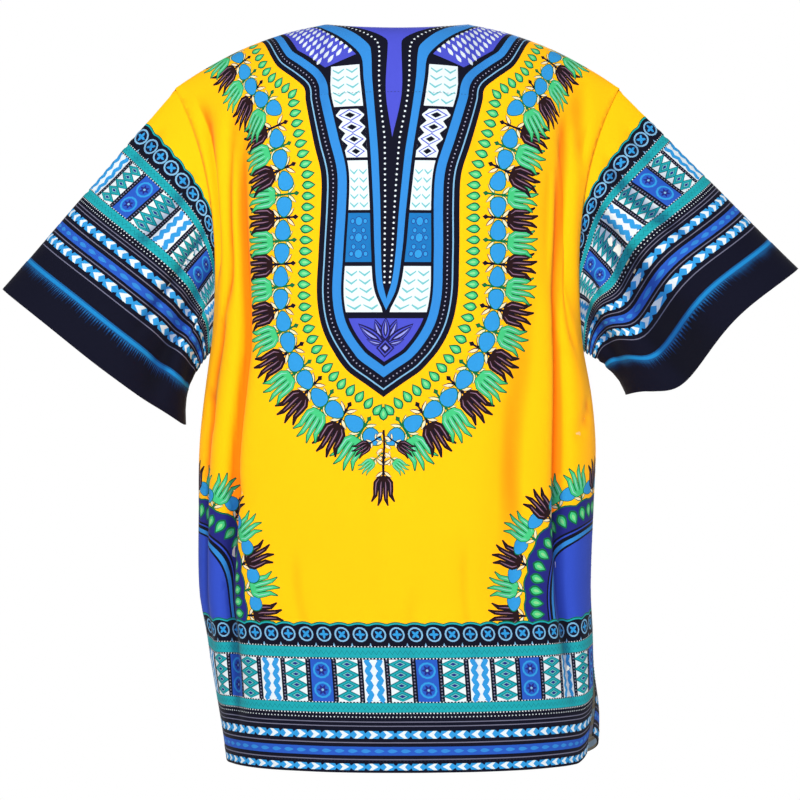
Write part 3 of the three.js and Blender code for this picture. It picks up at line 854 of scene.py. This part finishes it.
def arches(ink):
    """Half round medallions at the side seams above the hem border."""
    def squared(a):
        """A circle's radius over that of the rounder square which the medallion follows."""
        return (np.abs(np.cos(a)) ** 3 + np.abs(np.sin(a) * 1.03) ** 3) ** (1 / 3)

    for way in (-1, 1):
        s0, t0 = way * HALF, 148.0
        inward = math.pi if way > 0 else 0.0

        def half_discs(*rows, wave=0.0):
            a = np.linspace(-math.pi / 2, math.pi / 2, 73)
            for r, colour in rows:
                size = (r + wave * np.abs(np.sin(a * 16))) / squared(a)
                ink.add(np.stack([s0 + size * np.cos(a + inward), t0 + size * np.sin(a + inward)], -1),
                        colour)

        def spoke(reach, up):
            """Place and outward direction at an angle up from the border."""
            turn = inward - way * up
            r = reach / squared(up)
            return s0 + r * math.cos(turn), t0 + r * math.sin(turn), turn

        for k in range(8):
            up = math.radians(2 + k * 11.6)
            tulip(ink, *spoke(106, up), "green" if k in (1, 3, 5, 6) else "dark", 1.04)
            berry(ink, *spoke(130, up + math.radians(5.8)), 0.86)
        half_discs((117.5, "forest"), (116, "indigo"), wave=3)
        for k in range(15):
            drop(ink, *spoke(106, math.radians(3 + k * 6.1)), 1.15)
        half_discs((94.5, "black"), (92.5, "arch"), (91, "black"), (87.5, "sky"), (83.5, "black"),
                   (81.5, "arch"))


# ------------------------------------------------------------------ cloth pieces
def subdivide(points, longest=6.0):
    """A polygon with no edge longer than a length."""
    ahead = np.roll(points, -1, 0)
    count = np.maximum(1, np.ceil(np.linalg.norm(ahead - points, axis=1) / longest)).astype(int)
    parts = [mix(a, b, np.arange(n)[:, None] / n) for a, b, n in zip(points, ahead, count)]
    return np.vstack(parts)


def within(points, shape):
    """Which points a closed shape winds round."""
    a, b = shape, np.roll(shape, -1, 0)
    found = np.zeros(len(points), bool)
    block = max(1, 2000000 // len(shape))
    for first in range(0, len(points), block):
        x, y = points[first:first + block, :1], points[first:first + block, 1:]
        below, above = a[:, 1] <= y, b[:, 1] > y
        cross = (b[:, 0] - a[:, 0]) * (y - a[:, 1]) - (x - a[:, 0]) * (b[:, 1] - a[:, 1])
        winding = (below & above & (cross > 0)).sum(1) - (~below & ~above & (cross < 0)).sum(1)
        found[first:first + block] = winding != 0
    return found


def triangulate(ground, ink, spacing, more):
    """Flat triangles of the ground shape, each with the colour of the topmost shape over it."""
    low, high = ground.min(0), ground.max(0)
    shapes = [(ground, "yellow")]
    for shape, colour in ink.shapes:
        if (shape.max(0) > low).all() and (shape.min(0) < high).all():
            shapes.append((shape, colour))
    points, edges = [], []
    total = 0
    for shape, _ in shapes:
        fine = subdivide(shape)
        number = np.arange(total, total + len(fine))
        edges.append(np.stack([number, np.roll(number, -1)], -1))
        points.append(fine)
        total += len(fine)
    # The grid is closer across the folds than along them
    gs, gt = np.meshgrid(np.arange(low[0] + 2, high[0], spacing),
                         np.arange(low[1] + 3, high[1], 3.2 * spacing))
    points += [np.stack([gs.ravel(), gt.ravel()], -1), more]
    result = delaunay_2d_cdt([Vector(p) for p in np.vstack(points).tolist()],
                             np.vstack(edges).tolist(), [], 0, 1e-4)
    flat = np.array([v[:] for v in result[0]])
    tris = np.array(result[2])
    centre = flat[tris].mean(1)
    keep = within(centre, ground)
    tris, centre = tris[keep], centre[keep]
    order = np.argsort(centre[:, 1])
    tris, centre = tris[order], centre[order]
    top = np.zeros(len(tris), int)
    for number, (shape, _) in enumerate(shapes):
        (s0, t0), (s1, t1) = shape.min(0), shape.max(0)
        first, last = np.searchsorted(centre[:, 1], (t0, t1))
        across = centre[first:last, 0]
        near = first + np.nonzero((across > s0) & (across < s1))[0]
        top[near[within(centre[near], shape)]] = number
    used, index = np.unique(tris, return_inverse=True)
    tris = index.reshape(-1, 3)
    flat = flat[used]
    a, b, c = (flat[tris[:, k]] for k in range(3))
    area = (b[:, 0] - a[:, 0]) * (c[:, 1] - a[:, 1]) - (b[:, 1] - a[:, 1]) * (c[:, 0] - a[:, 0])
    tris[area < 0] = tris[area < 0][:, ::-1]
    return flat, tris, np.array([COLOURS[colour] for _, colour in shapes])[top]


def rim_of(tris, colour):
    """Edges that only one triangle has, and the colours beside them."""
    edges = {}
    for tri, value in zip(tris.tolist(), colour):
        for a, b in zip(tri, tri[1:] + tri[:1]):
            edges[(a, b)] = value
    return {edge: value for edge, value in edges.items() if edge[::-1] not in edges}


def coarse(ink, ground):
    """The print without its small shapes, for the reverse; what crosses an edge stays."""
    kept = Print()
    for shape, colour in ink.shapes:
        wide, tall = shape.max(0) - shape.min(0)
        if wide * tall > SMALL or not within(shape, ground).all():
            kept.add(shape, colour)
    return kept


def new_object(mesh, materials):
    for material in materials:
        mesh.materials.append(material)
    obj = bpy.data.objects.new(mesh.name, mesh)
    bpy.context.scene.collection.objects.link(obj)
    return obj


def cloth(name, drape, ground, ink, materials, uv_size, uv_back, spacing=3.8):
    """A closed thin shell of cloth on its drape, printed outside and paler inside."""
    s = np.arange(-HALF + 2.5, HALF - 2, spacing)
    top = np.interp(s, drape.s, drape.top)
    # Rows that keep the bend over the shoulder smooth
    upper = np.vstack([np.stack([s, top - down], -1) for down in (0.8, 2.2, 4.0, 6.5, 9.5)])
    flat, tris, colour = triangulate(ground, ink, spacing, upper)
    rim = rim_of(tris, colour)
    ahead = {a: b for a, b in rim}
    loop = [next(iter(rim))[0]]
    while len(loop) < len(ahead):
        loop.append(ahead[loop[-1]])
    back_flat, back_tris, back_colour = triangulate(flat[loop], coarse(ink, ground), spacing * 1.2,
                                                    upper)
    back_rim = np.array([a for a, b in rim_of(back_tris, back_colour)])
    apart = np.linalg.norm(flat[loop][:, None] - back_flat[back_rim][None], axis=-1)
    twin = dict(zip(loop, back_rim[apart.argmin(1)] + len(flat)))
    point, normal = drape.at(flat)
    positions = np.vstack([drape.lifted(flat, 0), drape.lifted(back_flat, 0, -1)])
    normals = np.vstack([normal, -drape.at(back_flat)[1]])
    sides = [[b, a, twin[a]] for a, b in rim] + [[b, twin[a], twin[b]] for a, b in rim]
    faces = np.vstack([tris, back_tris[:, ::-1] + len(flat), sides])
    corner = point[tris]
    facing = np.cross(corner[:, 1] - corner[:, 0], corner[:, 2] - corner[:, 0])
    if (facing * normal[tris].sum(1)).sum() < 0:
        faces = faces[:, ::-1]
    mesh = bpy.data.meshes.new(name)
    mesh.vertices.add(len(positions))
    mesh.vertices.foreach_set("co", (positions * MM).ravel())
    mesh.loops.add(len(faces) * 3)
    mesh.loops.foreach_set("vertex_index", faces.ravel().astype(np.int32))
    mesh.polygons.add(len(faces))
    mesh.polygons.foreach_set("loop_start", np.arange(0, len(faces) * 3, 3, dtype=np.int32))
    slot = np.zeros(len(faces), np.int32)
    slot[len(tris):len(tris) + len(back_tris)] = 1
    mesh.polygons.foreach_set("material_index", slot)
    mesh.update(calc_edges=True)
    all_colour = np.repeat(np.vstack([colour, back_colour, list(rim.values()) * 2]), 3, axis=0)
    # Painted shade: the colours are darkened where the cloth lies in a fold, and there the yellow is
    # shaded towards orange
    painted_fold_shade = np.concatenate([drape.hollow(flat), np.zeros(len(back_flat))])[faces.ravel()]
    plain = (all_colour[:, 2] == 0)[:, None]
    all_colour = all_colour * (1 - painted_fold_shade[:, None] * np.where(plain, (0.1, 0.55, 0.0), (0.6, 0.55, 0.42)))
    layer = mesh.attributes.new("Print", "FLOAT_COLOR", "CORNER")
    layer.data.foreach_set("color", np.hstack([all_colour, np.ones((len(all_colour), 1))]).ravel())
    uv = (np.vstack([flat, back_flat]) - flat.min(0)) / uv_size + 0.004
    uv[len(flat):] += uv_back
    layer = mesh.uv_layers.new(name="OFBake")
    layer.data.foreach_set("uv", uv[faces.ravel()].ravel())
    obj = new_object(mesh, materials)
    mesh.polygons.foreach_set("use_smooth", np.ones(len(faces), bool))
    mesh.normals_split_custom_set_from_vertices(normals.tolist())
    return obj


def stitches(name, drape, runs, material, pitch=3.4):
    """Short raised stitches along lines on the cloth."""
    verts, faces = [], []
    for run in runs:
        point, aim = path_points(run, pitch, pitch / 2)
        along = 1.15 * np.stack([np.cos(aim), np.sin(aim)], -1)
        side = 0.3 * np.stack([-np.sin(aim), np.cos(aim)], -1)
        # Two ends, two sides, the top and the point that is sunk into the cloth
        corners = [drape.lifted(flat, lift) for flat, lift in (
            (point - along, -0.02), (point + along, -0.02), (point + side, 0.03),
            (point - side, 0.03), (point, 0.32), (point, -0.25))]
        for six in zip(*corners):
            base = len(verts)
            verts += six
            for x, y, w in ((0, 2, 4), (2, 1, 4), (1, 3, 4), (3, 0, 4), (2, 0, 5), (1, 2, 5),
                            (3, 1, 5), (0, 3, 5)):
                faces.append((base + x, base + y, base + w))
    mesh = bpy.data.meshes.new(name)
    mesh.from_pydata([tuple(v * MM) for v in verts], [], faces)
    return new_object(mesh, [material])


# ------------------------------------------------------------------ materials
def node(tree, kind, inputs=(), **settings):
    """A node with its settings, each input given a value or linked to another's output."""
    made = tree.nodes.new("ShaderNode" + kind)
    for key, value in settings.items():
        setattr(made, key, value)
    for key, value in dict(inputs).items():
        if isinstance(value, bpy.types.NodeSocket):
            tree.links.new(value, made.inputs[key])
        else:
            made.inputs[key].default_value = value
    return made


def new_material(name, **values):
    """A material, its node tree and its shader with some values set."""
    material = bpy.data.materials.new(name)
    material.use_nodes = True
    shader = material.node_tree.nodes["Principled BSDF"]
    for key, value in values.items():
        shader.inputs[key.replace("_", " ")].default_value = value
    return material, material.node_tree, shader


def cotton(name, reverse):
    """Printed plain-weave cotton; the reverse shows the print much paler."""
    material, tree, shader = new_material(name, Roughness=0.82, Sheen_Weight=0.03, Sheen_Roughness=0.5,
                                          Specular_IOR_Level=0.12)
    attribute = node(tree, "Attribute", attribute_name="Print")
    place = node(tree, "TexCoord").outputs["Object"]
    cloud = node(tree, "TexNoise", {"Vector": place, "Scale": 9.0, "Detail": 3.0})
    grain = node(tree, "TexNoise", {"Vector": place, "Scale": 900.0, "Detail": 2.0})
    shade = node(tree, "Math", {0: cloud.outputs["Fac"], 1: 0.10, 2: 0.90}, operation="MULTIPLY_ADD")
    speck = node(tree, "Math", {0: grain.outputs["Fac"], 1: 0.12, 2: shade.outputs[0]},
                 operation="MULTIPLY_ADD")
    tone = node(tree, "MixRGB", {0: 1.0, 1: attribute.outputs["Color"], 2: speck.outputs[0]},
                blend_type="MULTIPLY")
    if reverse:
        tone = node(tree, "MixRGB", {0: 0.42, 1: tone.outputs[0], 2: (0.62, 0.56, 0.42, 1)})
    uv = node(tree, "UVMap", uv_map="OFBake").outputs[0]
    waves = [node(tree, "TexWave", {"Vector": uv, "Scale": 330.0, "Distortion": 0.6, "Detail": 1.0},
                  bands_direction=way).outputs["Fac"] for way in ("X", "Y")]
    weave = node(tree, "Math", dict(enumerate(waves)), operation="MAXIMUM")
    fine = node(tree, "Bump", {"Height": weave.outputs[0], "Strength": 0.25, "Distance": 0.0002})
    crumple = node(tree, "TexNoise", {"Vector": place, "Scale": 38.0, "Detail": 4.0, "Roughness": 0.55})
    rough = node(tree, "Bump", {"Height": crumple.outputs["Fac"], "Normal": fine.outputs[0],
                                "Strength": 0.3, "Distance": 0.0012})
    tree.links.new(tone.outputs[0], shader.inputs["Base Color"])
    tree.links.new(rough.outputs[0], shader.inputs["Normal"])
    return material


def thread(name, colour):
    material, tree, shader = new_material(name, Roughness=0.7)
    twist = node(tree, "TexNoise", {"Scale": 1500.0, "Detail": 2.0})
    ramp = node(tree, "MixRGB", {0: twist.outputs["Fac"], 1: (*[c * 0.7 for c in colour], 1),
                                 2: (*colour, 1)})
    tree.links.new(ramp.outputs[0], shader.inputs["Base Color"])
    return material


# ------------------------------------------------------------------ build
def body_cut(panel, drape):
    """The flat outline of a body panel, its hem at t = 0."""
    side = [(EDGE, 0.0), (EDGE, VENT_T), (EDGE + ALLOWANCE, VENT_T + BEVEL),
            (EDGE + ALLOWANCE, ARMHOLE_T - BEVEL), (EDGE, ARMHOLE_T)]
    top_s = np.linspace(EDGE, NECK["half"], 50)
    shoulder = np.stack([top_s, np.interp(top_s, drape.s, drape.top) + 6.0], -1)
    neck_s = np.linspace(NECK["half"] - 1, 0, 26)
    neck = np.stack([neck_s, np.interp(neck_s, drape.s, drape.top)], -1)
    if panel == "back":
        right = np.vstack([side, shoulder, neck])
        return np.vstack([right, (right * (-1, 1))[::-1][1:]])
    low = neck[-1, 1]
    right = np.vstack([side, shoulder, neck[:-1], [(0.15, low), (0.15, low - SLIT["depth"])]])
    return np.vstack([right, (right * (-1, 1))[::-1]])


def seam_runs(key, drape):
    """Lines of stitching: hems, side slits and the fold line across the back's bib."""
    if key in SLEEVES:
        return [[(-256, 36.5), (256, 36.5)]]
    runs = [[(-EDGE + 4, 11.5), (EDGE - 4, 11.5)]]
    runs += [[(way * (EDGE - 9), 14), (way * (EDGE - 9), 108)] for way in (-1, 1)]
    if key == "back":
        middle = len(drape.s) // 2
        share = np.interp(-79.0, drape.points[:, middle, 2], np.linspace(0, 1, drape.ROWS))
        level = share * drape.top[middle]
        runs.append([(-72, level), (76, level)])
    return runs


rng = np.random.default_rng(41)
cottons = (cotton("printed_cotton_outside", False), cotton("printed_cotton_inside", True))
dark_thread = thread("thread_dark", COLOURS["navy"])

body_ink = Print()
garland(body_ink)
arches(body_ink)
border(body_ink, HEM_ROWS, HALF + 8)
bib(body_ink)

body_columns = np.concatenate([[0.15], np.linspace(2.4, EDGE, 113), [260.6, 263, 266]])
body_columns = np.concatenate([-body_columns[::-1], body_columns])
pieces = []
for panel in PANELS:
    outward = 1 if panel == "back" else -1
    drape = Drape(body_columns, panel_grid(panel, body_columns), outward, PANEL_HEM)
    drape.crease(CREASES[panel], rng, 0.16)
    cut = body_cut(panel, drape)
    pieces.append((panel, drape, cut, cloth(panel + "_cloth", drape, cut, body_ink, cottons, 1070.0,
                                            (0.5, 0.0))))

for side, sleeve in SLEEVES.items():
    ink = Print()
    border(ink, CUFF_ROWS, SLEEVE_HALF + 8, 3)
    s = np.linspace(-SLEEVE_HALF + 0.6, SLEEVE_HALF - 0.6, 241)
    s = np.concatenate([[-SLEEVE_HALF - 5, -SLEEVE_HALF - 0.4], s, [SLEEVE_HALF + 0.4, SLEEVE_HALF + 5]])
    length = mix(SLEEVE_LONG, SLEEVE_SHORT, smooth(np.abs(s) / SLEEVE_HALF))
    drape = Drape(s, sleeve_grid(sleeve, s), -sleeve["sign"], CUFF_HEM, length)
    drape.crease(CREASES[side], rng, 0.14)
    s = np.linspace(-SLEEVE_HALF - 4, SLEEVE_HALF + 4, 80)
    cut = np.vstack([[(SLEEVE_HALF + 4, 0), (-SLEEVE_HALF - 4, 0)],
                     np.stack([s, np.interp(s, drape.s, drape.top)], -1)])
    pieces.append((side, drape, cut, cloth(side + "_cloth", drape, cut, ink, cottons, 560.0,
                                           (0.0, 0.5))))

for node_name, drape, cut, obj in pieces:
    sewn = stitches(node_name + "_stitching", drape, seam_runs(node_name, drape), dark_thread)
    for piece in (obj, sewn):
        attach(piece, "root")
    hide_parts(node_name)
    s, t = cut.T

# ------------------------------------------------------------------ camera, light and floor
scene = bpy.context.scene
scene.view_settings.view_transform = "Standard"
world = bpy.data.worlds.new("studio")
scene.world = world
world.use_nodes = True
# White behind the shirt, dimmer overhead and on the side that the lamps light
sky = world.node_tree
split = node(sky, "SeparateXYZ", {0: node(sky, "TexCoord").outputs["Generated"]})
fades = []
for axis, low, high, start, end in (("Z", 0.18, 0.4, 1.0, 0.3), ("Y", -0.5, 0.6, 0.55, 1.0)):
    fade = node(sky, "MapRange", {"Value": split.outputs[axis], "From Min": low, "From Max": high,
                                  "To Min": start, "To Max": end}, interpolation_type="SMOOTHSTEP")
    fades.append(fade.outputs[0])
glow = node(sky, "Math", dict(enumerate(fades)), operation="MULTIPLY")
sky.links.new(glow.outputs[0], sky.nodes["Background"].inputs[1])
sky.nodes["Background"].inputs[0].default_value = (1, 1, 1, 1)

bpy.ops.mesh.primitive_cylinder_add(vertices=96, radius=2.4, depth=0.02, location=(0, 0, -1.4))
floor = bpy.context.object
floor.name = "studio_floor"
paint, _, _ = new_material("pale_floor", Base_Color=(0.86, 0.86, 0.86, 1), Roughness=0.9)
floor.data.materials.append(paint)


def area_light(name, place, target, size, watts):
    data = bpy.data.lights.new(name, "AREA")
    data.shape = "DISK"
    data.size = size
    data.energy = watts
    lamp = bpy.data.objects.new(name, data)
    lamp.location = place
    lamp.rotation_euler = (Vector(target) - Vector(place)).to_track_quat("-Z", "Y").to_euler()
    scene.collection.objects.link(lamp)


area_light("key", (-0.6, -2.7, 1.1), (0, 0, -0.35), 0.8, 100)
area_light("fill", (1.5, -2.3, -0.2), (0, 0, -0.4), 1.0, 18)
area_light("far", (0.6, 2.8, 1.2), (0, 0, -0.35), 1.0, 56)

camera = bpy.data.objects.new("camera", bpy.data.cameras.new("camera"))
camera.location = (0.003, -2.5, -0.3815)
camera.rotation_euler = (math.pi / 2, 0, 0)
camera.data.sensor_width = 36
camera.data.lens = 110.3
scene.collection.objects.link(camera)
scene.camera = camera
